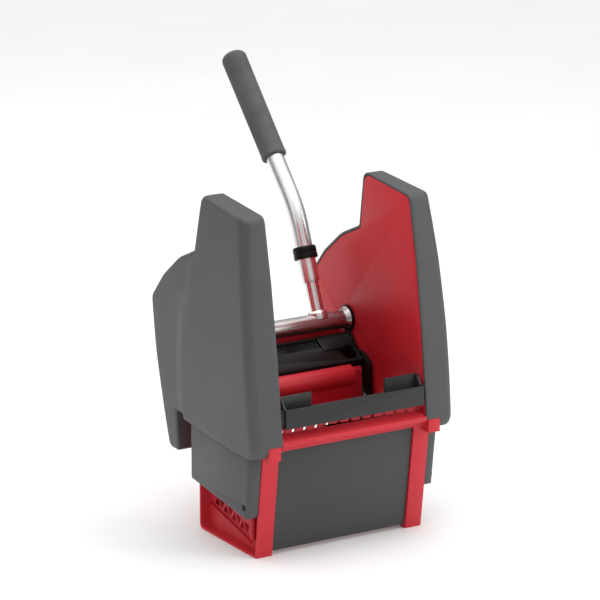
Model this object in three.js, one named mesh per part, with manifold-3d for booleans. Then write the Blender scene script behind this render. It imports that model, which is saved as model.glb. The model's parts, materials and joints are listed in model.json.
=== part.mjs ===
// A lever mop wringer: a press jaw between two side plates, swung forward by a lever shaft through
// gears, in grey side covers. Millimetres, +Z up, the front faces -Y, +X is on the right seen from
// the front. The origin is at the middle of the footprint, on the surface that the feet stand on.
import * as THREE from 'three';
import { mergeVertices } from 'three/addons/utils/BufferGeometryUtils.js';
import Module from 'manifold-3d';

const wasm = await Module();
wasm.setup();

// ---- Driving dimensions -------------------------------------------------------------------
const GAP = 0.3; // clearance between touching pieces

// Distances from the middle plane, the same on both sides
const PLATE_IN = 112; // inner face of the red side plates
const PLATE_OUT = 116; // outer face of the red side plates
const COVER_OUT = 140; // outer face of the covers before they are swollen
const SKIRT_OUT = 148; // outer face of the lower side shells at the front
const POST_IN = 105; // inner face of the front posts
const POST_OUT = 130; // outer face of the front posts
const BAR_END = 107; // ends of the front bar's trough
const CHEEK_OUT = 108; // outer face of the jaw's cheeks
const CHEEK_IN = 103; // inner face of the jaw's cheeks
const GEAR_IN = 118; // inner face of the gears
const GEAR_OUT = 125; // outer face of the gears
const LEVER_X = 66; // plane of the lever, to the right of the middle

// Heights and slopes
const COVER_TOP = 472;
const COVER_FRONT_LOW = 163;
const COVER_LOW = 145;
const POST_TOP = 160;
const POST_FOOT_Y = -73; // front face of the posts at the floor
const POST_LEAN = -0.13; // how far the posts' front face moves in Y for each mm of height
const POST_DEPTH = 22;
const FOOT_BACK_Y = 75;
const SLOT_FRONT_Y = 88; // the slot that takes the bucket's rim
const SLOT_BACK_Y = 110;
const SLOT_TOP = 160;

// Shaft, lever and grip
const SHAFT_Y = 85;
const SHAFT_Z = 257;
const TUBE_RADIUS = 12.5;
const TUBE_WALL = 2;
const SHAFT_HALF = 134;
const STUB_RADIUS = 10;
const STUB_LENGTH = 122;
const LOWER_ANGLE = 22.5; // lean of the lever's lower part, degrees back from upright
const UPPER_ANGLE = 42.4; // lean of the lever's upper part
const LOWER_LENGTH = 158.3; // shaft axis to the lever's bend
const UPPER_LENGTH = 254.2; // bend to the end of the grip
const BEND_RADIUS = 150;
const SLEEVE_START = 56; // shaft axis to the lower end of the handle tube
const COLLAR_START = 89;
const COLLAR_LENGTH = 17;
const COLLAR_RADIUS = 16.6;
const GRIP_LENGTH = 170;
const GRIP_RADIUS = 17.8;

// Gears: the pinions on the shaft drive the toothed sectors of the jaw
const GEAR_MODULE = 3.5;
const PINION_TEETH = 22;
const SECTOR_TEETH = 88; // in a full circle
const PRESSURE_ANGLE = THREE.MathUtils.degToRad(20);
const BACKLASH = 0.7;
const PINION_PITCH = GEAR_MODULE * PINION_TEETH / 2;
const SECTOR_PITCH = GEAR_MODULE * SECTOR_TEETH / 2;
const CENTRE_DISTANCE = PINION_PITCH + SECTOR_PITCH;

// Jaw pivot, one gear centre distance from the shaft
const PIVOT_Y = 35;
const PIVOT_Z = SHAFT_Z - Math.sqrt(CENTRE_DISTANCE ** 2 - (SHAFT_Y - PIVOT_Y) ** 2);
const PIVOT_RADIUS = 6;
const PIVOT_HALF = 132;
const LINK_CIRCLE = 90; // radius on which the link bolts lie
const LINK_ANGLES = [-4, 12]; // degrees back from upright, at rest
const JAW_SWING = 19; // degrees
const JAW_FRONT_Y = 17;

// Floor of the press chamber
const FLOOR_BACK = [71, 36];
const FLOOR_FRONT = [-55, 8];
const FLOOR_THICKNESS = 3;

const rad = THREE.MathUtils.degToRad;

// ---- Geometry helpers ---------------------------------------------------------------------

// One closed body with shared vertices, no empty triangles and its faces pointing out
function closed(geometry) {
  const bare = new THREE.BufferGeometry();
  bare.setAttribute('position', geometry.getAttribute('position').clone());
  if (geometry.index) {
    bare.setIndex(geometry.index.clone());
  }
  const merged = mergeVertices(bare, 1e-4);
  const position = merged.getAttribute('position');
  const corners = [new THREE.Vector3(), new THREE.Vector3(), new THREE.Vector3()];
  const kept = [];
  let volume = 0;
  for (let i = 0; i < merged.index.count; i += 3) {
    const triangle = [0, 1, 2].map((k) => merged.index.getX(i + k));
    if (new Set(triangle).size === 3) {
      triangle.forEach((vertex, k) => corners[k].fromBufferAttribute(position, vertex));
      volume += corners[0].dot(corners[1].clone().cross(corners[2]));
      kept.push(triangle);
    }
  }
  const order = volume < 0 ? [0, 2, 1] : [0, 1, 2];
  merged.setIndex(kept.flatMap((triangle) => order.map((k) => triangle[k])));
  return merged;
}

function toManifold(geometry) {
  const body = closed(geometry);
  return new wasm.Manifold(new wasm.Mesh({
    numProp: 3,
    vertProperties: new Float32Array(body.getAttribute('position').array),
    triVerts: new Uint32Array(body.index.array),
  }));
}

function toGeometry(manifold) {
  const mesh = manifold.getMesh();
  const geometry = new THREE.BufferGeometry();
  geometry.setAttribute('position', new THREE.BufferAttribute(mesh.vertProperties, 3));
  geometry.setIndex(new THREE.BufferAttribute(mesh.triVerts, 1));
  return geometry;
}

function join(...geometries) {
  return toGeometry(geometries.map(toManifold).reduce((sum, next) => sum.add(next)));
}

function cut(geometry, ...cutters) {
  const start = toManifold(geometry);
  return toGeometry(cutters.map(toManifold).reduce((rest, next) => rest.subtract(next), start));
}

// The same piece on the left side
function mirrored(geometry) {
  const copy = geometry.clone();
  copy.scale(-1, 1, 1);
  return closed(copy);
}

// A closed outline, or a hole in one, straight from point to point
function polygon(points, Type = THREE.Shape) {
  return new Type(points.map(([y, z]) => new THREE.Vector2(y, z)));
}

function circle(y, z, radius, sides = 20) {
  const points = Array.from({ length: sides }, (_, i) => {
    const angle = (2 * Math.PI * i) / sides;
    return [y + radius * Math.cos(angle), z + radius * Math.sin(angle)];
  });
  return polygon(points, THREE.Path);
}

// An outline in the Y-Z plane from corners [y, z, radius], with each corner rounded by an arc
function outline(corners) {
  const shape = new THREE.Shape();
  corners.forEach(([y, z, radius = 0], i) => {
    const corner = new THREE.Vector2(y, z);
    const [beforeY, beforeZ] = corners[(i + corners.length - 1) % corners.length];
    const [afterY, afterZ] = corners[(i + 1) % corners.length];
    const back = new THREE.Vector2(beforeY, beforeZ).sub(corner).normalize();
    const ahead = new THREE.Vector2(afterY, afterZ).sub(corner).normalize();
    const go = (point) => (i === 0 ? shape.moveTo(point.x, point.y) : shape.lineTo(point.x, point.y));
    if (radius === 0) {
      go(corner);
      return;
    }
    const half = Math.acos(THREE.MathUtils.clamp(back.dot(ahead), -1, 1)) / 2;
    const reach = radius / Math.tan(half);
    const start = corner.clone().addScaledVector(back, reach);
    const end = corner.clone().addScaledVector(ahead, reach);
    const inward = back.clone().add(ahead).normalize();
    const centre = corner.clone().addScaledVector(inward, radius / Math.sin(half));
    go(start);
    shape.absarc(
      centre.x, centre.y, radius,
      Math.atan2(start.y - centre.y, start.x - centre.x),
      Math.atan2(end.y - centre.y, end.x - centre.x),
      back.cross(ahead) > 0,
    );
  });
  return shape;
}

// A Y-Z shape given thickness along X, from x0 to x1
const YZ_TO_WORLD = new THREE.Matrix4().makeBasis(
  new THREE.Vector3(0, 1, 0),
  new THREE.Vector3(0, 0, 1),
  new THREE.Vector3(1, 0, 0),
);

function slab(shape, x0, x1, options = {}) {
  const geometry = new THREE.ExtrudeGeometry(shape, {
    depth: x1 - x0, bevelEnabled: false, curveSegments: 2, ...options,
  });
  geometry.applyMatrix4(YZ_TO_WORLD);
  geometry.translate(x0, 0, 0);
  return geometry;
}

// A slab with a rounded edge of the given radius on its outer side only
function roundedSlab(shape, x0, x1, radius, segments) {
  const bothEdges = slab(shape, x0, x1 - radius, {
    bevelEnabled: true,
    bevelThickness: radius,
    bevelSize: radius,
    bevelOffset: -radius,
    bevelSegments: segments,
  });
  return cut(bothEdges, box(x0 - radius - 1, x0, -400, 400, -100, 600));
}

function box(x0, x1, y0, y1, z0, z1) {
  const geometry = new THREE.BoxGeometry(x1 - x0, y1 - y0, z1 - z0);
  geometry.translate((x0 + x1) / 2, (y0 + y1) / 2, (z0 + z1) / 2);
  return geometry;
}

// A round bar along X
function rod(radius, x0, x1, y, z, sides = 20) {
  const geometry = new THREE.CylinderGeometry(radius, radius, Math.abs(x1 - x0), sides);
  geometry.rotateZ(Math.PI / 2);
  geometry.translate((x0 + x1) / 2, y, z);
  return geometry;
}

// A turned piece about X from profile points [radius, x]
function turned(profile, y, z, sides = 20) {
  const points = profile.map(([radius, x]) => new THREE.Vector2(radius, x));
  const geometry = new THREE.LatheGeometry(points, sides);
  geometry.rotateZ(-Math.PI / 2);
  geometry.translate(0, y, z);
  return geometry;
}

function ringProfile(inner, outer, x0, x1) {
  return [[inner, x0], [outer, x0], [outer, x1], [inner, x1], [inner, x0]];
}

// A point on the jaw at the given radius from its pivot and angle back from upright
function aroundPivot(radius, degreesBack) {
  const angle = rad(degreesBack);
  return [PIVOT_Y + radius * Math.sin(angle), PIVOT_Z + radius * Math.cos(angle)];
}

const postFront = (z) => POST_FOOT_Y + POST_LEAN * z;

// ---- Materials ----------------------------------------------------------------------------
function finish(color, roughness, metalness) {
  return new THREE.MeshStandardMaterial({ color, roughness, metalness });
}

const FINISHES = {
  redPlastic: () => finish(0xb52f38, 0.42, 0),
  coverGrey: () => finish(0x58595c, 0.55, 0),
  panelGrey: () => finish(0x4e5052, 0.6, 0),
  blackPlastic: () => finish(0x1c1c1d, 0.45, 0),
  barPlastic: () => finish(0x3c3e3f, 0.5, 0),
  steel: () => finish(0xb9b4b2, 0.28, 1),
  gearSteel: () => finish(0x8d8f92, 0.4, 1),
  gripRubber: () => finish(0x5f6163, 0.85, 0),
  blackRubber: () => finish(0x202020, 0.9, 0),
};

const wringer = new THREE.Group();
const assembly = new THREE.Group();
wringer.add(assembly);

function place(name, geometry, material) {
  const mesh = new THREE.Mesh(closed(geometry), material());
  mesh.name = name;
  assembly.add(mesh);
}

// The piece is made for the right side and mirrored for the left
function placePair(name, geometry, material) {
  place(`${name}_right`, geometry, material);
  place(`${name}_left`, mirrored(geometry), material);
}

// A row of like pieces, numbered from 1, on both sides
function placeSets(name, geometries, material) {
  geometries.forEach((geometry, i) => placePair(`${name}_${i + 1}`, geometry, material));
}

// ---- Side covers --------------------------------------------------------------------------

const COVER_WIDEST = 157.8; // outer face at the fullest height, 100 mm in front of the middle
const COVER_FULLEST_Z = 235;
const PLAN_TAPER = 0.04; // how far the sides draw in for each mm towards the back

const drawnIn = (y) => PLAN_TAPER * (y + 100);

function coverOut(y, z) {
  const above = Math.max(0, z - COVER_FULLEST_Z) / (COVER_TOP - COVER_FULLEST_Z);
  const below = Math.max(0, COVER_FULLEST_Z - z) / 80;
  return COVER_WIDEST - 12 * above ** 2 - 2 * below ** 2 - drawnIn(y);
}

// Moves a cover's outer side to its full, gently swelling shape
function swollen(geometry) {
  const facet = 34;
  const blend = 9; // width next to the side plate over which the shift grows
  const body = toManifold(geometry).refineToLength(facet).warp((point) => {
    const share = THREE.MathUtils.clamp((point[0] - PLATE_OUT) / blend, 0, 1);
    point[0] += share * (coverOut(point[1], point[2]) - COVER_OUT);
  });
  return toGeometry(body);
}

// Front, top, step, round rear and the front of the slot; the tail is added by each user
function coverCorners(inset) {
  return [
    [-113 + inset, COVER_FRONT_LOW, 0],
    [-99 + inset, 285, 200],
    [-85 + inset, 375, 100],
    [-67.5 + inset, 461 - inset, 12],
    [47 - inset, COVER_TOP - inset, 12],
    [57.5 - inset, 394 - inset, 5],
    [103 - inset, 374 - inset, 80],
    [146 - inset, 341 - inset, 80],
    [178 - inset, 305 - inset, 13],
    [165 - inset, 231, 90],
  ];
}

const COVER_OUTLINE = [
  ...coverCorners(0),
  [152, 176, 90],
  [137, 101, 10],
  [SLOT_BACK_Y, 101, 10],
  [SLOT_BACK_Y, SLOT_TOP, 4],
  [SLOT_FRONT_Y, SLOT_TOP, 4],
  [SLOT_FRONT_Y, COVER_LOW + 5, 0],
  [60, COVER_LOW + 3, 30],
  [-60, COVER_LOW - 2, 30],
  [-111, COVER_LOW, 12.5],
];

function makeCover() {
  const wall = 3;
  const edge = 9;
  const innerEdge = 6;
  const shell = swollen(roundedSlab(outline(COVER_OUTLINE), PLATE_OUT + GAP, COVER_OUT, edge, 3));
  const hollow = [
    ...coverCorners(wall),
    [151, 182, 20],
    [146, SLOT_TOP + 6, 9],
    [SLOT_FRONT_Y - wall, SLOT_TOP + 6, 0],
    [SLOT_FRONT_Y - wall, COVER_LOW - 30, 0],
    [-104, COVER_LOW - 30, 0],
    [-106, COVER_FRONT_LOW - 6, 0],
  ];
  const inside = swollen(roundedSlab(outline(hollow), PLATE_OUT - 5, COVER_OUT - wall, innerEdge, 2));
  const blockNotch = box(PLATE_OUT - 5, 133.5, -130, -60, COVER_LOW - 30, COVER_FRONT_LOW + GAP);
  const bosses = COVER_SCREWS.map(([y, z]) => rod(6, PLATE_OUT + GAP, coverOut(y, z) - 1.5, y, z, 12));
  const pilots = COVER_SCREWS.map(([y, z]) => rod(2.3, PLATE_OUT - 1, 133, y, z, 10));
  return cut(join(cut(shell, inside, blockNotch), makeCoverRim(), ...bosses), ...pilots);
}

// Rim that wraps round the edge of the side plate
function makeCoverRim() {
  const width = 2.7;
  const lowest = 172; // the rim ends here at the back
  const opening = outline([
    ...coverCorners(width), [152 - width, lowest - 10, 0], [0, 100, 0], [-113 + width, 100, 0],
  ]);
  const ring = cut(
    slab(outline(COVER_OUTLINE), PLATE_IN, PLATE_OUT + 1.5),
    slab(opening, PLATE_IN - 1, PLATE_OUT + 2.5),
    box(PLATE_IN - 1, PLATE_OUT + 2.5, -200, 0, 50, COVER_FRONT_LOW + GAP),
    box(PLATE_IN - 1, PLATE_OUT + 2.5, 0, 200, 50, lowest),
  );
  return ring;
}

const COVER_SCREWS = [[-80, 195], [-32, 168]];

function makeCoverScrews() {
  const profile = [
    [0, PLATE_IN - 2], [4, PLATE_IN - 2], [4, PLATE_IN - GAP], [2, PLATE_IN - GAP], [2, 130], [0, 130],
  ];
  return COVER_SCREWS.map(([y, z]) => turned(profile, y, z, 10));
}

// ---- Red side plates ----------------------------------------------------------------------

const drainLine = (y) => FLOOR_FRONT[1] + (y - FLOOR_FRONT[0]) * (FLOOR_BACK[1] - FLOOR_FRONT[1])
  / (FLOOR_BACK[0] - FLOOR_FRONT[0]);

// The slot that the link bolts swing through
function arcSlot() {
  const half = 6;
  const back = Math.max(...LINK_ANGLES) + 4;
  const front = Math.min(...LINK_ANGLES) - JAW_SWING - 4;
  const steps = 8;
  const angles = Array.from({ length: steps + 1 }, (_, i) => front + ((back - front) * i) / steps);
  return polygon([
    ...angles.map((angle) => aroundPivot(LINK_CIRCLE + half, angle)),
    ...angles.toReversed().map((angle) => aroundPivot(LINK_CIRCLE - half, angle)),
  ]);
}

// Alternating triangles that leave a lattice above the chamber's floor
function drainTriangles() {
  const pitch = 11;
  const count = 8;
  return Array.from({ length: count }, (_, i) => {
    const y = 50 - pitch * i;
    const low = drainLine(y) + 5;
    const up = i % 2 === 0;
    const triangle = up
      ? [[y - 7.5, low], [y + 7.5, low + 1.6], [y, low + 13.8]]
      : [[y - 7.5, low + 13], [y, low + 0.8], [y + 7.5, low + 14.6]];
    return polygon(triangle, THREE.Path);
  });
}

function makeSidePlate() {
  const rim = 3.4;
  const front = (z) => postFront(z) + POST_DEPTH + GAP;
  const shape = outline([
    ...coverCorners(rim),
    [153, 184, 30],
    [148, SLOT_TOP + 4, 6],
    [FOOT_BACK_Y, SLOT_TOP + 4, 0],
    [FOOT_BACK_Y, 0, 8],
    [front(0), 0, 0],
    [front(POST_TOP), COVER_FRONT_LOW + GAP, 0],
    [-113 + rim, COVER_FRONT_LOW + GAP, 0],
  ].slice(1));
  shape.holes = [
    circle(SHAFT_Y, SHAFT_Z, 16),
    circle(PIVOT_Y, PIVOT_Z, 9),
    ...COVER_SCREWS.map(([y, z]) => circle(y, z, 2.4, 10)),
    ...BAR_SCREWS.map(([y, z]) => circle(y, z, 2.4, 10)),
    ...drainTriangles(),
  ];
  const flangeOut = POST_OUT;
  const flange = 3;
  const foot = outline([
    [FOOT_BACK_Y, 140, 0], [FOOT_BACK_Y, 0, 8], [front(0), 0, 0], [front(flange), flange, 0],
    [FOOT_BACK_Y - flange, flange, 6], [FOOT_BACK_Y - flange, 140, 0],
  ]);
  const floorRib = outline([
    [66, drainLine(66), 0], [66, drainLine(66) + 2, 0],
    [-40, drainLine(-40) + 2, 0], [-40, drainLine(-40), 0],
  ]);
  const rib = new THREE.CylinderGeometry(4, 4, 44, 12);
  rib.rotateX(Math.PI / 2);
  rib.translate(PLATE_OUT + 3.5, -48, 40);
  const wall = cut(slab(shape, PLATE_IN, PLATE_OUT), slab(arcSlot(), PLATE_IN - 1, PLATE_OUT + 1));
  return join(
    wall,
    slab(foot, PLATE_IN + 1, flangeOut),
    slab(floorRib, PLATE_IN + 1, PLATE_OUT + 4),
    rib,
  );
}

// ---- Front frame --------------------------------------------------------------------------

const RAIL_FRONT_Y = -113;
const LIP_Y = [-99, -96]; // upright lip behind the rail, with the row of holes
const LIP_TOP = 183;
const HOLE_PITCH = 17.5;
const LIP_HOLES = 13;
const LIP_HOLE_Z = 177.5;
const LIP_HOLE_RADIUS = 2.6;
const SKIRT_SCREW = [-70, 73];

function makeFrontFrame() {
  const backAt = (z) => postFront(z) + POST_DEPTH;
  const post = outline([
    [postFront(0), 0, 0], [postFront(POST_TOP), POST_TOP, 0],
    [backAt(POST_TOP), POST_TOP, 0], [backAt(0), 0, 0],
  ]);
  const rail = outline([
    [RAIL_FRONT_Y, 161, 0], [RAIL_FRONT_Y, 167, 1], [LIP_Y[0], 174, 0], [LIP_Y[0], LIP_TOP, 0],
    [LIP_Y[1], LIP_TOP, 0], [LIP_Y[1], 152, 0], [-101, 152, 0], [-101, 161, 0],
  ]);
  const railHalf = PLATE_IN - GAP;
  const block = outline([
    [RAIL_FRONT_Y, 144, 1], [RAIL_FRONT_Y, COVER_FRONT_LOW, 0], [backAt(POST_TOP), COVER_FRONT_LOW, 0],
    [backAt(POST_TOP), 150, 0], [-96, 144, 0],
  ]);
  const bracket = box(POST_IN, POST_IN + 12, -101, -82, 151, 161);
  const posts = [1, -1].map((side) => {
    const upright = slab(post, POST_IN, POST_OUT);
    const recess = box(POST_IN + 4, POST_OUT + 1, POST_FOOT_Y + 3, 0, 3, 138);
    const screwHole = rod(2.3, POST_IN - 1, POST_IN + 5, SKIRT_SCREW[0], SKIRT_SCREW[1], 10);
    const channel = cut(upright, shearedWithPost(recess), screwHole);
    const solid = join(channel, bracket, slab(block, POST_IN + 10, 133));
    return side > 0 ? solid : mirrored(solid);
  });
  const holes = Array.from({ length: LIP_HOLES }, (_, i) => {
    const hole = new THREE.CylinderGeometry(LIP_HOLE_RADIUS, LIP_HOLE_RADIUS, 10, 8);
    hole.translate((i - (LIP_HOLES - 1) / 2) * HOLE_PITCH, (LIP_Y[0] + LIP_Y[1]) / 2, LIP_HOLE_Z);
    return hole;
  });
  return cut(join(slab(rail, -railHalf, railHalf), ...posts), ...holes);
}

// Leans a piece with the posts
function shearedWithPost(geometry) {
  const position = geometry.getAttribute('position');
  for (let i = 0; i < position.count; i += 1) {
    position.setY(i, position.getY(i) + POST_LEAN * position.getZ(i));
  }
  return geometry;
}

// A flat panel that leans with the posts
function leaningPanel(half, y0, y1, z0, z1) {
  return shearedWithPost(box(-half, half, y0, y1, z0, z1));
}

function makeFrontApron() {
  const front = POST_FOOT_Y + 2.5;
  return leaningPanel(POST_IN - 0.8, front, front + 4, 6, 151.5);
}

// Perforated wall that the mop is pressed against
function makeFrontSieve() {
  const front = POST_FOOT_Y + 11;
  const rows = 4;
  const columns = 11;
  const holes = [];
  for (let row = 0; row < rows; row += 1) {
    for (let column = 0; column < columns; column += 1) {
      const hole = new THREE.CylinderGeometry(4, 4, 20, 6);
      hole.translate((column - (columns - 1) / 2) * HOLE_PITCH, front, 44 + row * 32);
      holes.push(hole);
    }
  }
  const half = POST_IN - GAP;
  return shearedWithPost(cut(box(-half, half, front, front + 3, 20, 165), ...holes));
}

// Sloping floor with drain slots
function makeSieveFloor() {
  const half = PLATE_IN - GAP;
  const length = Math.hypot(FLOOR_BACK[0] - FLOOR_FRONT[0], FLOOR_BACK[1] - FLOOR_FRONT[1]);
  const slots = 11;
  const margin = 16;
  const cutters = Array.from({ length: slots }, (_, i) => {
    const x = (i - (slots - 1) / 2) * HOLE_PITCH;
    return box(x - 3, x + 3, margin, length - margin, -1, FLOOR_THICKNESS + 1);
  });
  const postRoom = [1, -1].map((side) => {
    const [near, far] = [side * (POST_IN - GAP), side * PLATE_OUT];
    return box(Math.min(near, far), Math.max(near, far), -1, 6, -1, FLOOR_THICKNESS + 1);
  });
  const plate = cut(box(-half, half, 0, length, 0, FLOOR_THICKNESS), ...cutters, ...postRoom);
  plate.rotateX(Math.atan2(FLOOR_BACK[1] - FLOOR_FRONT[1], FLOOR_BACK[0] - FLOOR_FRONT[0]));
  plate.translate(0, FLOOR_FRONT[0], FLOOR_FRONT[1]);
  return plate;
}

// Rear wall: low part behind the chamber, ledge over the bucket's rim, high part behind the shaft
function makeRearWall() {
  const wall = 4;
  const [low, ledge, top] = [42, SLOT_TOP + GAP, 241];
  const profile = outline([
    [72, low, 0], [76, low, 0], [76, ledge, 2], [112, ledge, 2], [112, top, 0], [108, top, 0],
    [108, ledge + wall, 2], [72, ledge + wall, 2],
  ]);
  const window = box(-74, 74, 60, 80, 62, 150);
  return cut(slab(profile, -(PLATE_IN - GAP), PLATE_IN - GAP), window);
}

// ---- Lower side shells --------------------------------------------------------------------

// Draws a lower shell in towards the back, as the covers are
function drawnToBack(geometry) {
  const position = geometry.getAttribute('position');
  for (let i = 0; i < position.count; i += 1) {
    const share = (position.getX(i) - PLATE_OUT) / (SKIRT_OUT - PLATE_OUT);
    position.setX(i, position.getX(i) - share * drawnIn(position.getY(i)));
  }
  return geometry;
}

// What is taken off the shell's front corner to round it
function makeCornerCutter() {
  const radius = 11;
  const front = POST_FOOT_Y + 1.6;
  const steps = 6;
  const arc = Array.from({ length: steps + 1 }, (_, i) => {
    const angle = (Math.PI / 2) * (i / steps);
    return [SKIRT_OUT - 0.6 - radius + radius * Math.sin(angle), front + radius - radius * Math.cos(angle)];
  });
  const beyond = SKIRT_OUT + 5;
  const area = polygon([...arc, [beyond, front + radius], [beyond, front - 9], [arc[0][0], front - 9]]);
  const cutter = new THREE.ExtrudeGeometry(area, { depth: 130, bevelEnabled: false });
  cutter.translate(0, 0, 40);
  return shearedWithPost(cutter);
}

function makeSkirt() {
  const wall = 2.5;
  const edge = 3;
  const top = 152;
  const back = 79.5;
  const backTop = POST_FOOT_Y + 1.5 + POST_LEAN * top;
  const backLow = POST_FOOT_Y + 1.5 + POST_LEAN * 56;
  const shape = outline([
    [back, top, 0], [back, 71.5, 4], [-64, 58.8, 30], [backLow, 56, 8], [backTop, top, 0],
  ]);
  const inner = outline([
    [back - wall, top + 9, 0], [back - wall, 74.4, 2], [-64, 61.4, 30], [backLow + wall + 1, 59, 6],
    [backTop + wall + 1, top, 0], [backTop + wall, top + 9, 0],
  ]);
  const shell = cut(
    drawnToBack(roundedSlab(shape, PLATE_OUT + GAP, SKIRT_OUT, edge, 2)), makeCornerCutter(),
    drawnToBack(slab(inner, PLATE_OUT - 5, SKIRT_OUT - 4)),
  );
  const postRoom = box(PLATE_OUT - 5, POST_OUT + GAP, -130, -40, 30, top + 20);
  const footRoom = box(PLATE_OUT - 5, POST_OUT + GAP, -60, back + 1, 30, 141);
  const blockRoom = box(PLATE_OUT - 5, 133 + GAP, -130, -60, 144 - GAP, top + 20);
  const boss = rod(7.5, POST_OUT + 3, SKIRT_OUT - 3, ...SKIRT_SCREW, 16);
  const screwHole = rod(2.4, POST_OUT, SKIRT_OUT + 1, ...SKIRT_SCREW, 10);
  const headRoom = rod(5, SKIRT_HEAD, SKIRT_OUT + 2, ...SKIRT_SCREW, 16);
  const shaftRoom = rod(11, POST_OUT - 1, PIVOT_HALF + 1.5, PIVOT_Y, PIVOT_Z);
  return cut(join(cut(shell, postRoom, footRoom, blockRoom, shaftRoom), boss), screwHole, headRoom);
}

const SKIRT_HEAD = 138; // seat of the screw's head

function makeSkirtScrew() {
  const seat = SKIRT_HEAD + GAP;
  const head = seat + 2.6;
  const profile = [
    [0, POST_IN + 0.5], [1.9, POST_IN + 0.5], [1.9, seat], [4.2, seat], [4.2, head], [1.6, head],
    [1.6, head - 1.4], [0, head - 1.4],
  ];
  return turned(profile, ...SKIRT_SCREW, 12);
}

// ---- Front bar ----------------------------------------------------------------------------

const BAR_FRONT_Y = -113;
const BAR_BACK_Y = -91;
const BAR_LOW = 185;
const BAR_FRONT_TOP = 211;
const BAR_EAR_TOP = 224;
const BAR_SCREWS = [[-100, 192], [-97, 204]];

function makeFrontBar() {
  const wall = 3;
  const floor = box(-BAR_END, BAR_END, BAR_FRONT_Y, BAR_BACK_Y, BAR_LOW, BAR_LOW + wall);
  const frontWall = box(-BAR_END, BAR_END, BAR_FRONT_Y, BAR_FRONT_Y + wall, BAR_LOW, BAR_FRONT_TOP);
  const backWall = box(-BAR_END, BAR_END, BAR_BACK_Y - wall, BAR_BACK_Y, BAR_LOW, 205);
  const earIn = 57;
  const end = outline([
    [BAR_FRONT_Y, BAR_LOW, 0], [BAR_FRONT_Y, BAR_FRONT_TOP, 0], [-106, BAR_FRONT_TOP + 1, 9],
    [-98, BAR_EAR_TOP, 7], [BAR_BACK_Y, BAR_EAR_TOP, 2], [BAR_BACK_Y, BAR_LOW, 0],
  ]);
  const ends = [1, -1].flatMap((side) => {
    const ear = box(earIn, BAR_END, BAR_BACK_Y - wall, BAR_BACK_Y, BAR_LOW, BAR_EAR_TOP);
    const cheek = slab(end, BAR_END - wall, BAR_END);
    const bossEnd = PLATE_IN - GAP;
    const boss = box(BAR_END - 1, bossEnd, BAR_FRONT_Y + 6, BAR_BACK_Y - 2, BAR_LOW + 2, BAR_FRONT_TOP - 1);
    return [ear, cheek, boss].map((piece) => (side > 0 ? piece : mirrored(piece)));
  });
  const pilots = [1, -1].flatMap(
    (side) => BAR_SCREWS.map(([y, z]) => rod(2.3, side * 103, side * 113, y, z, 10)),
  );
  return cut(join(floor, frontWall, backWall, ...ends), ...pilots);
}

function makeBarScrews() {
  const profile = [
    [0, BAR_END - 1], [2, BAR_END - 1], [2, PLATE_OUT + GAP], [4, PLATE_OUT + GAP], [4, PLATE_OUT + 3],
    [0, PLATE_OUT + 3],
  ];
  return BAR_SCREWS.map(([y, z]) => turned(profile, y, z, 10));
}

// ---- Lever --------------------------------------------------------------------------------

const lowerWay = new THREE.Vector3(0, Math.sin(rad(LOWER_ANGLE)), Math.cos(rad(LOWER_ANGLE)));
const upperWay = new THREE.Vector3(0, Math.sin(rad(UPPER_ANGLE)), Math.cos(rad(UPPER_ANGLE)));
const leverFoot = new THREE.Vector3(LEVER_X, SHAFT_Y, SHAFT_Z);
const bendPoint = leverFoot.clone().addScaledVector(lowerWay, LOWER_LENGTH);
const gripEnd = bendPoint.clone().addScaledVector(upperWay, UPPER_LENGTH);

// Turns a piece made about +Y so that it lies along the given direction from a point
function aimed(geometry, origin, way) {
  const turn = new THREE.Quaternion().setFromUnitVectors(new THREE.Vector3(0, 1, 0), way);
  geometry.applyQuaternion(turn);
  geometry.translate(origin.x, origin.y, origin.z);
  return geometry;
}

function lathe(profile, sides) {
  return new THREE.LatheGeometry(profile.map(([radius, height]) => new THREE.Vector2(radius, height)), sides);
}

function makeCrossTube() {
  const inner = TUBE_RADIUS - TUBE_WALL;
  return turned(ringProfile(inner, TUBE_RADIUS, -SHAFT_HALF, SHAFT_HALF), SHAFT_Y, SHAFT_Z, 28);
}

function shaftRoom() {
  return rod(TUBE_RADIUS + GAP, -SHAFT_HALF, SHAFT_HALF, SHAFT_Y, SHAFT_Z, 28);
}

// The solid peg's foot is shaped to sit on the cross tube
function makeLeverStub() {
  const peg = lathe([[0, 2], [STUB_RADIUS, 2], [STUB_RADIUS, STUB_LENGTH - 2], [STUB_RADIUS - 2, STUB_LENGTH],
    [0, STUB_LENGTH]], 20);
  return cut(aimed(peg, leverFoot, lowerWay), shaftRoom());
}

function makeWeldBead() {
  const inner = STUB_RADIUS + GAP;
  const profile = [
    [inner, 3], [inner + 4.6, 3], [inner + 4, 13], [inner + 2.4, 15.5], [inner, 16.5], [inner, 3],
  ];
  return cut(aimed(lathe(profile, 20), leverFoot, lowerWay), shaftRoom());
}

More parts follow.
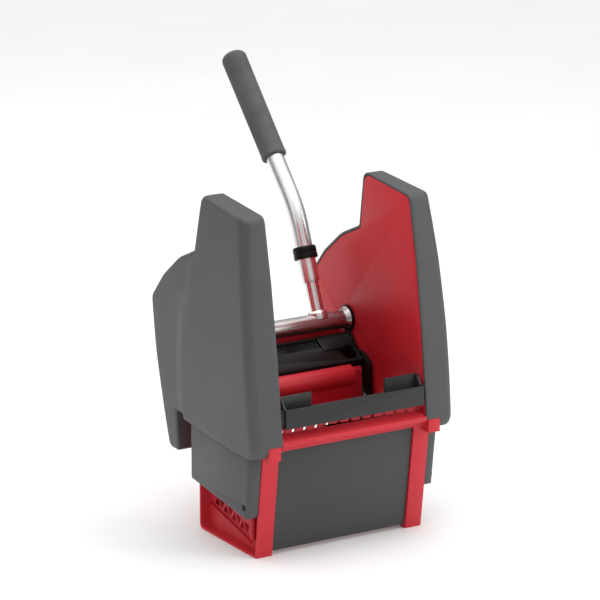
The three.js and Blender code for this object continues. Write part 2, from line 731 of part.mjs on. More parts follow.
// Straight lower part, bend and straight upper part, as one path
class LeverPath extends THREE.Curve {
  constructor(start, end) {
    super();
    this.reach = BEND_RADIUS * Math.tan(rad(UPPER_ANGLE - LOWER_ANGLE) / 2);
    this.lower = LOWER_LENGTH - this.reach - start;
    this.bend = BEND_RADIUS * rad(UPPER_ANGLE - LOWER_ANGLE);
    this.upper = UPPER_LENGTH - this.reach - end;
    this.start = start;
  }

  getPoint(t, target = new THREE.Vector3()) {
    const along = t * (this.lower + this.bend + this.upper);
    if (along <= this.lower) {
      return target.copy(leverFoot).addScaledVector(lowerWay, this.start + along);
    }
    if (along >= this.lower + this.bend) {
      const past = along - this.lower - this.bend + this.reach;
      return target.copy(bendPoint).addScaledVector(upperWay, past);
    }
    const turn = (along - this.lower) / BEND_RADIUS;
    const side = new THREE.Vector3(0, lowerWay.z, -lowerWay.y);
    return target.copy(bendPoint).addScaledVector(lowerWay, BEND_RADIUS * Math.sin(turn) - this.reach)
      .addScaledVector(side, BEND_RADIUS * (1 - Math.cos(turn)));
  }
}

function makeHandleTube() {
  const ring = new THREE.Shape();
  ring.absarc(0, 0, TUBE_RADIUS, 0, 2 * Math.PI);
  const bore = new THREE.Path();
  bore.absarc(0, 0, STUB_RADIUS + GAP + 0.1, 0, 2 * Math.PI);
  ring.holes.push(bore);
  return new THREE.ExtrudeGeometry(ring, {
    steps: 20, curveSegments: 8, bevelEnabled: false, extrudePath: new LeverPath(SLEEVE_START, 12),
  });
}

function makeHandleCollar() {
  const inner = TUBE_RADIUS + GAP;
  const profile = [
    [inner, 0], [COLLAR_RADIUS - 1.5, 0], [COLLAR_RADIUS, 2], [COLLAR_RADIUS, COLLAR_LENGTH - 2],
    [COLLAR_RADIUS - 1.5, COLLAR_LENGTH], [inner, COLLAR_LENGTH], [inner, 0],
  ];
  const foot = leverFoot.clone().addScaledVector(lowerWay, COLLAR_START);
  return aimed(lathe(profile, 24), foot, lowerWay);
}

function makeHandleGrip() {
  const bore = TUBE_RADIUS + GAP;
  const dome = 10;
  const profile = [
    [0, GRIP_LENGTH - 8], [bore, GRIP_LENGTH - 8], [bore, 0], [GRIP_RADIUS - 1, 0], [GRIP_RADIUS, 2],
  ];
  profile.push([GRIP_RADIUS, GRIP_LENGTH - dome]);
  const steps = 4;
  for (let i = 1; i <= steps; i += 1) {
    const angle = (Math.PI / 2) * (i / steps);
    const radius = i === steps ? 0 : GRIP_RADIUS * Math.cos(angle) ** 0.6;
    profile.push([radius, GRIP_LENGTH - dome + dome * Math.sin(angle)]);
  }
  const foot = gripEnd.clone().addScaledVector(upperWay, -GRIP_LENGTH);
  return aimed(lathe(profile, 24), foot, upperWay);
}

// ---- Gears --------------------------------------------------------------------------------

const involute = (angle) => Math.tan(angle) - angle;

// Half of a tooth's width at a radius, as an angle
function toothHalf(teeth, radius) {
  const pitch = (GEAR_MODULE * teeth) / 2;
  const base = pitch * Math.cos(PRESSURE_ANGLE);
  const pressure = Math.acos(Math.min(1, base / Math.max(radius, base)));
  return Math.PI / (2 * teeth) - BACKLASH / (4 * pitch) + involute(PRESSURE_ANGLE) - involute(pressure);
}

// Points of one tooth, root to tip to root, at a centre angle
function toothPoints(teeth, centreY, centreZ, angle) {
  const pitch = (GEAR_MODULE * teeth) / 2;
  const radii = [pitch - 1.25 * GEAR_MODULE, pitch - 0.2 * GEAR_MODULE, pitch + 0.9 * GEAR_MODULE];
  const at = (radius, turn) => [centreY + radius * Math.cos(turn), centreZ + radius * Math.sin(turn)];
  return [
    ...radii.map((radius) => at(radius, angle - toothHalf(teeth, radius))),
    ...radii.toReversed().map((radius) => at(radius, angle + toothHalf(teeth, radius))),
  ];
}

const meshAngle = Math.atan2(SHAFT_Z - PIVOT_Z, SHAFT_Y - PIVOT_Y); // from the jaw's pivot to the shaft

function makePinion() {
  const teeth = Array.from({ length: PINION_TEETH }, (_, i) => {
    const angle = meshAngle + Math.PI + (2 * Math.PI * i) / PINION_TEETH;
    return toothPoints(PINION_TEETH, SHAFT_Y, SHAFT_Z, angle);
  });
  const shape = polygon(teeth.flat());
  shape.holes.push(circle(SHAFT_Y, SHAFT_Z, TUBE_RADIUS + GAP, 28));
  return slab(shape, GEAR_IN, GEAR_OUT);
}

function makeSectorGear() {
  const pitchAngle = (2 * Math.PI) / SECTOR_TEETH;
  const [first, last] = [-6.5, 1.5];
  const root = SECTOR_PITCH - 1.25 * GEAR_MODULE;
  const inner = root - 14;
  const at = (radius, turn) => [PIVOT_Y + radius * Math.cos(turn), PIVOT_Z + radius * Math.sin(turn)];
  const start = meshAngle + (first - 0.6) * pitchAngle;
  const end = meshAngle + (last + 0.6) * pitchAngle;
  const points = [at(root, start)];
  for (let k = first; k <= last; k += 1) {
    points.push(...toothPoints(SECTOR_TEETH, PIVOT_Y, PIVOT_Z, meshAngle + k * pitchAngle));
  }
  points.push(at(root, end));
  const innerSteps = 8;
  for (let i = 0; i <= innerSteps; i += 1) {
    points.push(at(inner, end + ((start - end) * i) / innerSteps));
  }
  const shape = polygon(points);
  const tab = outline([
    [...aroundPivot(LINK_CIRCLE - 12, -10), 8], [...aroundPivot(SECTOR_PITCH - 8, -4), 6],
    [...aroundPivot(SECTOR_PITCH - 8, 26), 4], [...aroundPivot(LINK_CIRCLE - 12, 15), 8],
  ]);
  const bolts = LINK_ANGLES.map(
    (angle) => rod(4.3, GEAR_IN - 1, GEAR_OUT + 1, ...aroundPivot(LINK_CIRCLE, angle), 14),
  );
  return cut(join(slab(shape, GEAR_IN, GEAR_OUT), slab(tab, GEAR_IN, GEAR_OUT)), ...bolts);
}

function makeLinkBolts() {
  const head = 6;
  const profile = [
    [0, CHEEK_IN - 3], [head, CHEEK_IN - 3], [head, CHEEK_IN - GAP], [4, CHEEK_IN - GAP], [4, GEAR_OUT + GAP],
    [head, GEAR_OUT + GAP], [head, GEAR_OUT + 4], [0, GEAR_OUT + 4],
  ];
  return LINK_ANGLES.map((angle) => turned(profile, ...aroundPivot(LINK_CIRCLE, angle), 12));
}

// ---- Jaw ----------------------------------------------------------------------------------

const BAND_FRONT = [33, 213]; // front edge of the sloping band
const BAND_SLOPE = 27 / 43;
const bandTop = (y) => BAND_FRONT[1] + BAND_SLOPE * (y - BAND_FRONT[0]);

function makeJawCarrier() {
  const cheek = outline([
    [86, 236, 1], [75, 243, 2], [63, 235, 6], [52, 223, 6], [34, 221, 8], [JAW_FRONT_Y, 210, 12],
    [JAW_FRONT_Y, 96, 30], [PIVOT_Y - 17, PIVOT_Z - 17, 12], [PIVOT_Y + 17, PIVOT_Z - 17, 12],
    [60, 112, 20], [66, 168, 10], [86, 196, 10],
  ]);
  const rightCheek = slab(cheek, CHEEK_IN, CHEEK_OUT);
  const cheeks = [rightCheek, mirrored(rightCheek)];
  const half = CHEEK_IN + 1;
  const blockStart = 53;
  const underside = [[76, bandTop(76) - 9.5, 0], [57, bandTop(57) - 9.5, 0], [54, bandTop(54) - 4, 0],
    [BAND_FRONT[0], BAND_FRONT[1] - 4, 0]];
  const grooved = outline([
    [...BAND_FRONT, 0], [60, bandTop(60), 0.6], [60.5, bandTop(60) - 5, 0], [74, bandTop(74) - 5, 0],
    [74, bandTop(74), 0], [76, bandTop(76), 0], ...underside,
  ]);
  const raised = outline([
    [...BAND_FRONT, 0], [52.5, bandTop(52.5), 0], [53.5, bandTop(53.5) + 2, 0], [75, bandTop(75) + 1.5, 0],
    [76, bandTop(76), 0], ...underside,
  ]);
  const rib = outline([
    [74, bandTop(74) - 3, 0], [36, 211.5, 0], [36, 202, 0], [30, 202, 0], [25.4, 199, 0], [23.4, 194.5, 0],
    [25, 189.5, 0], [30, 184, 0], [30, 160, 0], [40, 157, 0], [66, 196, 0],
  ]);
  const ribs = [-51, 0, 51].map((x) => slab(rib, x - 2, x + 2));
  const hub = rod(11, -half, half, PIVOT_Y, PIVOT_Z, 20);
  const pocket = new THREE.ExtrudeGeometry(
    polygon([[74, 53], [98, 56], [101, 42], [93, 36], [83, 36]]), { depth: 40, bevelEnabled: false },
  );
  pocket.translate(0, 0, 205);
  const body = join(
    ...cheeks, slab(grooved, -half, blockStart + 1), slab(raised, blockStart, half), ...ribs, hub,
  );
  const bolts = [1, -1].flatMap((side) => LINK_ANGLES.map(
    (angle) => {
      const [y, z] = aroundPivot(LINK_CIRCLE, angle);
      return rod(4.3, side * (CHEEK_IN - 1), side * (CHEEK_OUT + 2), y, z, 14);
    },
  ));
  return cut(body, rod(PIVOT_RADIUS + GAP, -120, 120, PIVOT_Y, PIVOT_Z, 18), pocket, ...bolts);
}

// Press face: a rounded nose above a set-back front, with a flat wing at each end
function makeJawPad() {
  const radius = 14.5;
  const [centreY, centreZ] = [JAW_FRONT_Y + radius, 194.5];
  const frontY = 25; // of the part below the nose
  const wingY = 29;
  const bottomZ = 157;
  const wall = 4;
  const noseEnd = 82;
  const half = CHEEK_IN - 3.5; // clear of the link bolts' heads
  const steps = 10;
  const face = (inset) => {
    const arc = Array.from({ length: steps + 1 }, (_, i) => {
      const angle = rad(130) * (i / steps);
      const reach = radius - inset;
      return [centreY - reach * Math.sin(angle), centreZ + reach * Math.cos(angle)];
    });
    return [...arc, [frontY + inset, 181], [frontY + inset, bottomZ]];
  };
  const nose = polygon([...face(0), ...face(wall).reverse()]);
  const wing = polygon([
    [32, 204], [wingY, 200], [wingY, bottomZ], [wingY + wall, bottomZ], [wingY + wall, 204],
  ]);
  const endWall = polygon([...face(0), [wingY + wall, bottomZ], [wingY + wall, 207]]);
  const wings = [1, -1].flatMap((side) => [
    slab(endWall, noseEnd - wall, noseEnd),
    slab(wing, noseEnd - 1, half),
  ].map((piece) => (side > 0 ? piece : mirrored(piece))));
  return join(slab(nose, -noseEnd, noseEnd), ...wings);
}

// ---- Bushes, rings, buffers and springs -----------------------------------------------------

function makeShaftBush() {
  const bore = TUBE_RADIUS + GAP;
  const profile = [
    [bore, PLATE_IN - 2.5], [18.5, PLATE_IN - 2.5], [18.5, PLATE_IN - GAP], [15.7, PLATE_IN - GAP],
    [15.7, GEAR_IN - GAP], [bore, GEAR_IN - GAP], [bore, PLATE_IN - 2.5],
  ];
  return turned(profile, SHAFT_Y, SHAFT_Z, 28);
}

// Flared steel collar on the shaft, next to each bush
function makeShaftFlange() {
  const bore = TUBE_RADIUS + GAP;
  const end = PLATE_IN - 2.5 - GAP;
  const profile = [
    [bore, end - 8], [bore + 1, end - 8], [bore + 1.6, end - 5], [bore + 4, end - 1.5], [bore + 4, end],
    [bore, end], [bore, end - 8],
  ];
  return turned(profile, SHAFT_Y, SHAFT_Z, 28);
}

function makeJawBush() {
  const bore = PIVOT_RADIUS + GAP;
  const profile = [
    [bore, CHEEK_OUT + GAP], [11, CHEEK_OUT + GAP], [11, PLATE_IN - GAP], [8.7, PLATE_IN - GAP],
    [8.7, PLATE_OUT + 2], [bore, PLATE_OUT + 2], [bore, CHEEK_OUT + GAP],
  ];
  return turned(profile, PIVOT_Y, PIVOT_Z, 18);
}

function makeJawShaft() {
  const end = PIVOT_HALF;
  return turned([[0, -end], [PIVOT_RADIUS - 1, -end], [PIVOT_RADIUS, 1 - end], [PIVOT_RADIUS, end - 1],
    [PIVOT_RADIUS - 1, end], [0, end]], PIVOT_Y, PIVOT_Z, 18);
}

function makeShaftRing() {
  return turned(ringProfile(PIVOT_RADIUS + GAP, 10, PIVOT_HALF - 3, PIVOT_HALF - 1.5), PIVOT_Y, PIVOT_Z, 16);
}

// Rubber stop between the rear wall and the jaw's cheek
function makeJawBuffer() {
  const buffer = new THREE.CylinderGeometry(4.5, 5.5, 108 - GAP - (86 + GAP), 14);
  buffer.translate((CHEEK_IN + CHEEK_OUT) / 2, (108 - GAP + 86 + GAP) / 2, 222);
  return buffer;
}

// Torsion spring about the jaw's shaft, with straight legs
class SpringPath extends THREE.Curve {
  getPoint(t, target = new THREE.Vector3()) {
    const radius = 10;
    const turns = 2.75;
    const leg = 16;
    const coil = 2 * Math.PI * radius * turns;
    const along = t * (coil + 2 * leg) - leg;
    const turn = THREE.MathUtils.clamp(along / coil, 0, 1);
    const angle = 2 * Math.PI * turns * turn;
    const past = along < 0 ? along : Math.max(0, along - coil);
    const x = 121 + 6.5 * turn;
    return target.set(
      x,
      PIVOT_Y + radius * Math.cos(angle) - past * Math.sin(angle),
      PIVOT_Z + radius * Math.sin(angle) + past * Math.cos(angle),
    );
  }
}

function makeReturnSpring() {
  const wire = new THREE.Shape();
  wire.absarc(0, 0, 1.1, 0, 2 * Math.PI);
  return new THREE.ExtrudeGeometry(wire, {
    steps: 46, curveSegments: 3, bevelEnabled: false, extrudePath: new SpringPath(),
  });
}

// ---- The assembly -------------------------------------------------------------------------

placePair('side_plate', makeSidePlate(), FINISHES.redPlastic);
place('front_frame', makeFrontFrame(), FINISHES.redPlastic);
place('front_apron', makeFrontApron(), FINISHES.panelGrey);
place('front_sieve', makeFrontSieve(), FINISHES.redPlastic);
place('sieve_floor', makeSieveFloor(), FINISHES.redPlastic);
place('rear_wall', makeRearWall(), FINISHES.redPlastic);
placePair('cover', makeCover(), FINISHES.coverGrey);
placeSets('cover_screw', makeCoverScrews(), FINISHES.gearSteel);
placePair('skirt', makeSkirt(), FINISHES.coverGrey);
placePair('skirt_screw', makeSkirtScrew(), FINISHES.gearSteel);
place('front_bar', makeFrontBar(), FINISHES.barPlastic);
placeSets('bar_screw', makeBarScrews(), FINISHES.gearSteel);
placePair('shaft_bush', makeShaftBush(), FINISHES.blackPlastic);
placePair('jaw_bush', makeJawBush(), FINISHES.blackPlastic);
placePair('jaw_buffer', makeJawBuffer(), FINISHES.blackRubber);
placePair('return_spring', makeReturnSpring(), FINISHES.gearSteel);

place('cross_tube', makeCrossTube(), FINISHES.steel);
placePair('shaft_flange', makeShaftFlange(), FINISHES.steel);
place('lever_stub', makeLeverStub(), FINISHES.steel);
place('weld_bead', makeWeldBead(), FINISHES.steel);
place('handle_tube', makeHandleTube(), FINISHES.steel);
place('handle_collar', makeHandleCollar(), FINISHES.blackPlastic);
place('handle_grip', makeHandleGrip(), FINISHES.gripRubber);
placePair('drive_pinion', makePinion(), FINISHES.gearSteel);

place('jaw_carrier', makeJawCarrier(), FINISHES.blackPlastic);
place('jaw_pad', makeJawPad(), FINISHES.redPlastic);
place('jaw_shaft', makeJawShaft(), FINISHES.steel);
placePair('shaft_ring', makeShaftRing(), FINISHES.gearSteel);
placePair('sector_gear', makeSectorGear(), FINISHES.gearSteel);
placeSets('link_bolt', makeLinkBolts(), FINISHES.gearSteel);

const extent = new THREE.Box3().setFromObject(assembly);
assembly.position.y = -(extent.min.y + extent.max.y) / 2;

export default wringer;
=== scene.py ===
"""Looks of the lever mop wringer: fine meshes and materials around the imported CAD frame."""
import json
import math

import bmesh
import bpy
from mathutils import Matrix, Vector

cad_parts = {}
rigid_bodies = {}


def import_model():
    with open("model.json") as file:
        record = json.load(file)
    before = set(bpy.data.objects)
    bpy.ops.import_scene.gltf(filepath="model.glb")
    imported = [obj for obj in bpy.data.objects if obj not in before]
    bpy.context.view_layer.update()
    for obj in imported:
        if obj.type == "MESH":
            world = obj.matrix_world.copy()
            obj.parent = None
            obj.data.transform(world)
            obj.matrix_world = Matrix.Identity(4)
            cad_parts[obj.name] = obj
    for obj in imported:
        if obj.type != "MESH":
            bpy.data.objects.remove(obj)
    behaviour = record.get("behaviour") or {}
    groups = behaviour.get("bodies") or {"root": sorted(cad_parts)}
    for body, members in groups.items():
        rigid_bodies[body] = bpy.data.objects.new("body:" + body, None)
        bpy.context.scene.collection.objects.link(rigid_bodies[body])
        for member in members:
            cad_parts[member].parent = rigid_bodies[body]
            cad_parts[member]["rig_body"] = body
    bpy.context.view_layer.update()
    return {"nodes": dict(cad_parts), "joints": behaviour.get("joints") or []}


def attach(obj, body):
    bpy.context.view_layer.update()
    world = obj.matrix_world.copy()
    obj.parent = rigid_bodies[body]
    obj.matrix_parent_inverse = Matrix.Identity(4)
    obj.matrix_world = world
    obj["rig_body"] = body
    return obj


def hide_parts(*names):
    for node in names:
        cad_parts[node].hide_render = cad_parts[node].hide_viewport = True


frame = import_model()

# ---- Driving dimensions, in millimetres in the part's own frame -----------------------------
JOINTS = {joint["name"]: joint for joint in frame["joints"]}
SHAFT_Y, SHAFT_Z = 85.0, 257.0
SHIFT_Y = JOINTS["lever_turn"]["pos_m"][1] * 1000 - SHAFT_Y  # the part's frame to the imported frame

PLATE_IN, PLATE_OUT = 112.0, 116.0
GAP = 0.3
COVER_TOP = 472.0
COVER_OUT = 140.0  # outer face of a cover before it is swollen
COVER_WIDEST, COVER_FULLEST_Z = 157.8, 235.0
PLAN_TAPER = 0.04

TUBE_RADIUS = 12.5
LEVER_X = 66.0
LOWER_ANGLE, UPPER_ANGLE = math.radians(22.5), math.radians(42.4)
LOWER_LENGTH, UPPER_LENGTH, BEND_RADIUS = 158.3, 254.2, 150.0
SLEEVE_START = 56.0
COLLAR_START, COLLAR_LENGTH, COLLAR_RADIUS = 89.0, 17.0, 16.6
GRIP_LENGTH, GRIP_RADIUS = 170.0, 17.8
STUB_RADIUS = 10.0
SHAFT_HALF = 134.0
BORE = 10.5  # of the cross tube
FIT_RADIUS = TUBE_RADIUS + GAP

ROUND_STEPS = 64  # sides of a fine round piece
ARC_STEPS = 8  # steps of a rounded corner


def place(x, y, z):
    """A point of the part's own frame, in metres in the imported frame."""
    return Vector((x, y + SHIFT_Y, z)) / 1000


# ---- Mesh helpers ---------------------------------------------------------------------------
def finish_mesh(bm, name, sharp_degrees=38):
    """A smooth-shaded object whose edges stay sharp where the faces turn by more than the angle."""
    bmesh.ops.recalc_face_normals(bm, faces=bm.faces)
    for face in bm.faces:
        face.smooth = True
    for edge in bm.edges:
        if len(edge.link_faces) == 2:
            edge.smooth = edge.calc_face_angle(0.0) < math.radians(sharp_degrees)
    mesh = bpy.data.meshes.new(name)
    bm.to_mesh(mesh)
    bm.free()
    piece = bpy.data.objects.new(name, mesh)
    bpy.context.scene.collection.objects.link(piece)
    return piece


def show(piece, node, material):
    """Lets a piece stand for its CAD node, on the node's own body."""
    piece.data.materials.clear()
    piece.data.materials.append(material)
    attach(piece, frame["nodes"][node]["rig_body"])
    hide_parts(node)
    return piece


def mirrored(piece, name):
    bm = bmesh.new()
    bm.from_mesh(piece.data)
    bmesh.ops.scale(bm, vec=(-1, 1, 1), verts=bm.verts)
    bmesh.ops.reverse_faces(bm, faces=bm.faces)
    return finish_mesh(bm, name)


def boolean(piece, cutters, operation="DIFFERENCE"):
    """Cuts pieces away from a piece, or joins them to it, and removes them."""
    for cutter in cutters:
        step = piece.modifiers.new("cut", "BOOLEAN")
        step.object = cutter
        step.operation = operation
        step.solver = "EXACT"
        bpy.context.view_layer.update()
        evaluated = piece.evaluated_get(bpy.context.evaluated_depsgraph_get())
        mesh = bpy.data.meshes.new_from_object(evaluated)
        piece.modifiers.clear()
        old = piece.data
        piece.data = mesh
        bpy.data.meshes.remove(old)
        bpy.data.objects.remove(cutter)
    bm = bmesh.new()
    bm.from_mesh(piece.data)
    bmesh.ops.remove_doubles(bm, verts=bm.verts, dist=1e-6)
    name = piece.name
    bpy.data.objects.remove(piece)
    return finish_mesh(bm, name)


def corner_arc(before, corner, after, radius, steps):
    """Points of the arc that rounds a corner."""
    back, ahead = (before - corner), (after - corner)
    room = min(back.length, ahead.length) * 0.495
    back.normalize()
    ahead.normalize()
    half = math.acos(max(-1.0, min(1.0, back.dot(ahead)))) / 2
    if half > math.radians(89.5):
        return [corner + (ahead - back) * (room * 0.2 * (i / steps - 0.5)) for i in range(steps + 1)]
    radius = min(radius, room * math.tan(half))
    centre = corner + (back + ahead).normalized() * (radius / math.sin(half))
    start = corner + back * (radius / math.tan(half)) - centre
    sweep = math.pi - 2 * half
    if back.x * ahead.y - back.y * ahead.x > 0:
        sweep = -sweep
    points = []
    for i in range(steps + 1):
        turn = sweep * i / steps
        cos, sin = math.cos(turn), math.sin(turn)
        points.append(centre + Vector((start.x * cos - start.y * sin, start.x * sin + start.y * cos)))
    return points


def outline(corners, insets=0.0, steps=ARC_STEPS):
    """Points (y, z) of a closed outline of corners (y, z, radius), each edge moved inwards."""
    count = len(corners)
    if not isinstance(insets, (list, tuple)):
        insets = [insets] * count
    flat = [Vector(corner[:2]) for corner in corners]
    following = flat[1:] + flat[:1]
    area = sum(a.x * b.y - b.x * a.y for a, b in zip(flat, following))
    side = 1 if area > 0 else -1
    ways = [(flat[(i + 1) % count] - flat[i]).normalized() for i in range(count)]
    inward = [Vector((-way.y, way.x)) * side for way in ways]
    moved = []
    for i in range(count):
        a, b = ways[i - 1], ways[i]
        start, end = flat[i] + inward[i - 1] * insets[i - 1], flat[i] + inward[i] * insets[i]
        cross = a.x * b.y - a.y * b.x
        if abs(cross) < 1e-3:
            moved.append((start + end) / 2)
        else:
            gap = end - start
            moved.append(start + a * ((gap.x * b.y - gap.y * b.x) / cross))
    points = []
    for i in range(count):
        turn = (ways[i - 1].x * ways[i].y - ways[i - 1].y * ways[i].x) * side
        shift = (insets[i - 1] + insets[i]) / 2
        radius = max(corners[i][2] - shift * (1 if turn > 0 else -1), 0.4)
        points += corner_arc(moved[i - 1], moved[i], moved[(i + 1) % count], radius, steps)
    return points


def loft(rings):
    """A closed solid through rings of (x, [(y, z), ...]), all with the same number of points."""
    bm = bmesh.new()
    rows = [[bm.verts.new(place(x, point[0], point[1])) for point in points] for x, points in rings]
    count = len(rows[0])
    for low, high in zip(rows, rows[1:]):
        for i in range(count):
            j = (i + 1) % count
            bm.faces.new((low[i], low[j], high[j], high[i]))
    bm.faces.new(rows[0])
    bm.faces.new(rows[-1])
    return bm, rows


def box_piece(x0, x1, y0, y1, z0, z1):
    """A plain block, used for cutting."""
    corners = [(y0, z0), (y1, z0), (y1, z1), (y0, z1)]
    return finish_mesh(loft([(x0, corners), (x1, corners)])[0], "block")


def rounded_profile(points, radius, closed=True, steps=4):
    """A profile (radius, height) with every corner rounded, for turned pieces."""
    flat = [Vector(point) for point in points]
    result = []
    for i, point in enumerate(flat):
        if not closed and i in (0, len(flat) - 1):
            result.append(point)
            continue
        result += corner_arc(flat[i - 1], point, flat[(i + 1) % len(flat)], radius, steps)
    return result


def turned(profile, path, name, closed=True, sides=ROUND_STEPS):
    """A round piece: path(height) gives the middle of each ring and its direction."""
    bm = bmesh.new()
    rows = []
    for radius, height in profile:
        middle, way = path(height)
        across = Vector((1, 0, 0)) if abs(way.x) < 0.9 else Vector((0, 0, 1))
        other = way.cross(across).normalized()
        if radius < 1e-4:
            rows.append([bm.verts.new(place(*middle))])
            continue
        row = []
        for i in range(sides):
            turn = 2 * math.pi * i / sides
            outward = across * math.cos(turn) + other * math.sin(turn)
            row.append(bm.verts.new(place(*(middle + outward * radius))))
        rows.append(row)
    pairs = list(zip(rows, rows[1:]))
    if closed:
        pairs.append((rows[-1], rows[0]))
    for low, high in pairs:
        if len(low) == 1 and len(high) == 1:
            continue
        for i in range(sides):
            j = (i + 1) % sides
            if len(low) == 1:
                bm.faces.new((low[0], high[j], high[i]))
            elif len(high) == 1:
                bm.faces.new((low[i], low[j], high[0]))
            else:
                bm.faces.new((low[i], low[j], high[j], high[i]))
    return finish_mesh(bm, name)


def refined(node, width=0.5, segments=2, limit_degrees=32, name=None):
    """A copy of a CAD node with its flat faces merged and its edges rounded."""
    bm = bmesh.new()
    bm.from_mesh(frame["nodes"][node].data)
    bmesh.ops.remove_doubles(bm, verts=bm.verts, dist=2e-6)
    bmesh.ops.dissolve_limit(bm, angle_limit=math.radians(0.6), verts=bm.verts, edges=bm.edges)
    limit = math.radians(limit_degrees)
    edges = [e for e in bm.edges if len(e.link_faces) == 2 and e.calc_face_angle(0.0) > limit]
    bmesh.ops.bevel(
        bm, geom=edges, offset=width / 1000, offset_type="OFFSET", segments=segments, profile=0.5,
        affect="EDGES", clamp_overlap=True,
    )
    return finish_mesh(bm, name or node + "_fine")


# ---- Material helpers -----------------------------------------------------------------------
class Nodes:
    """Small helper that adds and links the nodes of one material."""

    def __init__(self, name):
        self.material = bpy.data.materials.new(name)
        self.material.use_nodes = True
        self.tree = self.material.node_tree
        self.shader = self.tree.nodes["Principled BSDF"]
        self.place = self.add("ShaderNodeTexCoord").outputs["Object"]

    def add(self, kind, **values):
        node = self.tree.nodes.new(kind)
        for key, value in values.items():
            setattr(node, key, value)
        return node

    def link(self, source, target):
        self.tree.links.new(source, target)

    def noise(self, scale, detail=3.0, roughness=0.55, stretch=None):
        node = self.add("ShaderNodeTexNoise")
        node.inputs["Scale"].default_value = scale
        node.inputs["Detail"].default_value = detail
        node.inputs["Roughness"].default_value = roughness
        source = self.place
        if stretch:
            mapping = self.add("ShaderNodeMapping")
            mapping.inputs["Scale"].default_value = stretch
            self.link(self.place, mapping.inputs["Vector"])
            source = mapping.outputs["Vector"]
        self.link(source, node.inputs["Vector"])
        return node.outputs["Fac"]

    def ramp(self, source, low, high, out_low=0.0, out_high=1.0):
        node = self.add("ShaderNodeMapRange")
        for key, value in (("From Min", low), ("From Max", high), ("To Min", out_low), ("To Max", out_high)):
            node.inputs[key].default_value = value
        self.link(source, node.inputs["Value"])
        return node.outputs["Result"]

    def mix(self, factor, first, second):
        node = self.add("ShaderNodeMix", data_type="RGBA")
        for index, value in ((6, first), (7, second)):
            if isinstance(value, (tuple, list)):
                node.inputs[index].default_value = (*value[:3], 1)
            else:
                self.link(value, node.inputs[index])
        if isinstance(factor, float):
            node.inputs[0].default_value = factor
        else:
            self.link(factor, node.inputs[0])
        return node.outputs[2]

    def math(self, operation, first, second):
        node = self.add("ShaderNodeMath", operation=operation)
        for index, value in enumerate((first, second)):
            if isinstance(value, (int, float)):
                node.inputs[index].default_value = value
            else:
                self.link(value, node.inputs[index])
        return node.outputs[0]

    def bump(self, height, strength, distance, under=None):
        node = self.add("ShaderNodeBump")
        node.inputs["Strength"].default_value = strength
        node.inputs["Distance"].default_value = distance
        self.link(height, node.inputs["Height"])
        if under is not None:
            self.link(under, node.inputs["Normal"])
        return node.outputs["Normal"]

    def edge_mask(self, radius):
        """1 on edges that stand out or in, 0 on flat stretches."""
        bevel = self.add("ShaderNodeBevel", samples=4)
        bevel.inputs["Radius"].default_value = radius
        geometry = self.add("ShaderNodeNewGeometry")
        dot = self.add("ShaderNodeVectorMath", operation="DOT_PRODUCT")
        self.link(bevel.outputs["Normal"], dot.inputs[0])
        self.link(geometry.outputs["Normal"], dot.inputs[1])
        return self.ramp(dot.outputs["Value"], 0.995, 0.93)


def shade(colour, amount):
    return tuple(channel * amount for channel in colour)


def moulded_plastic(name, colour, roughness, grain=1500.0, depth=0.00004, worn=1.12, gloss=0.5):
    """Moulded plastic: fine spark grain, soft clouding, faint scuffs and burnished edges."""
    kit = Nodes(name)
    clouds = kit.ramp(kit.noise(9.0, 4.0), 0.35, 0.68)
    specks = kit.ramp(kit.noise(420.0, 2.0), 0.3, 0.75)
    base = kit.mix(clouds, shade(colour, 0.94), shade(colour, 1.05))
    base = kit.mix(kit.math("MULTIPLY", specks, 0.35), base, shade(colour, 0.86))
    base = kit.mix(kit.math("MULTIPLY", kit.edge_mask(0.0012), 0.6), base, shade(colour, worn))
    kit.link(base, kit.shader.inputs["Base Color"])
    scuffs = kit.ramp(kit.noise(60.0, 6.0, 0.7, stretch=(1, 1, 6)), 0.56, 0.72)
    rough = kit.ramp(clouds, 0.0, 1.0, roughness - 0.04, roughness + 0.05)
    kit.link(kit.math("ADD", rough, kit.math("MULTIPLY", scuffs, 0.09)), kit.shader.inputs["Roughness"])
    kit.shader.inputs["Specular IOR Level"].default_value = gloss
    fine = kit.bump(kit.noise(grain, 3.0, 0.6), 0.6, depth)
    kit.link(kit.bump(kit.noise(22.0, 2.0), 0.25, 0.0004, under=fine), kit.shader.inputs["Normal"])
    return kit.material


def bright_steel(name, colour, roughness, stretch=(1, 1, 1), wear=0.5):
    """Plated tube: drawing marks along the tube, clouded plating and small dull spots."""
    kit = Nodes(name)
    drawn = kit.noise(260.0, 5.0, 0.6, stretch=stretch)
    clouds = kit.ramp(kit.noise(24.0, 4.0), 0.35, 0.7)
    spots = kit.ramp(kit.noise(310.0, 2.0), 0.66, 0.74)
    base = kit.mix(clouds, shade(colour, 0.9), colour)
    base = kit.mix(kit.math("MULTIPLY", spots, wear), base, shade(colour, 0.45))
    kit.link(base, kit.shader.inputs["Base Color"])
    kit.shader.inputs["Metallic"].default_value = 1.0
    rough = kit.ramp(drawn, 0.3, 0.7, roughness - 0.05, roughness + 0.1)
    kit.link(kit.math("ADD", rough, kit.math("MULTIPLY", clouds, 0.06)), kit.shader.inputs["Roughness"])
    kit.link(kit.bump(drawn, 0.25, 0.00003), kit.shader.inputs["Normal"])
    return kit.material


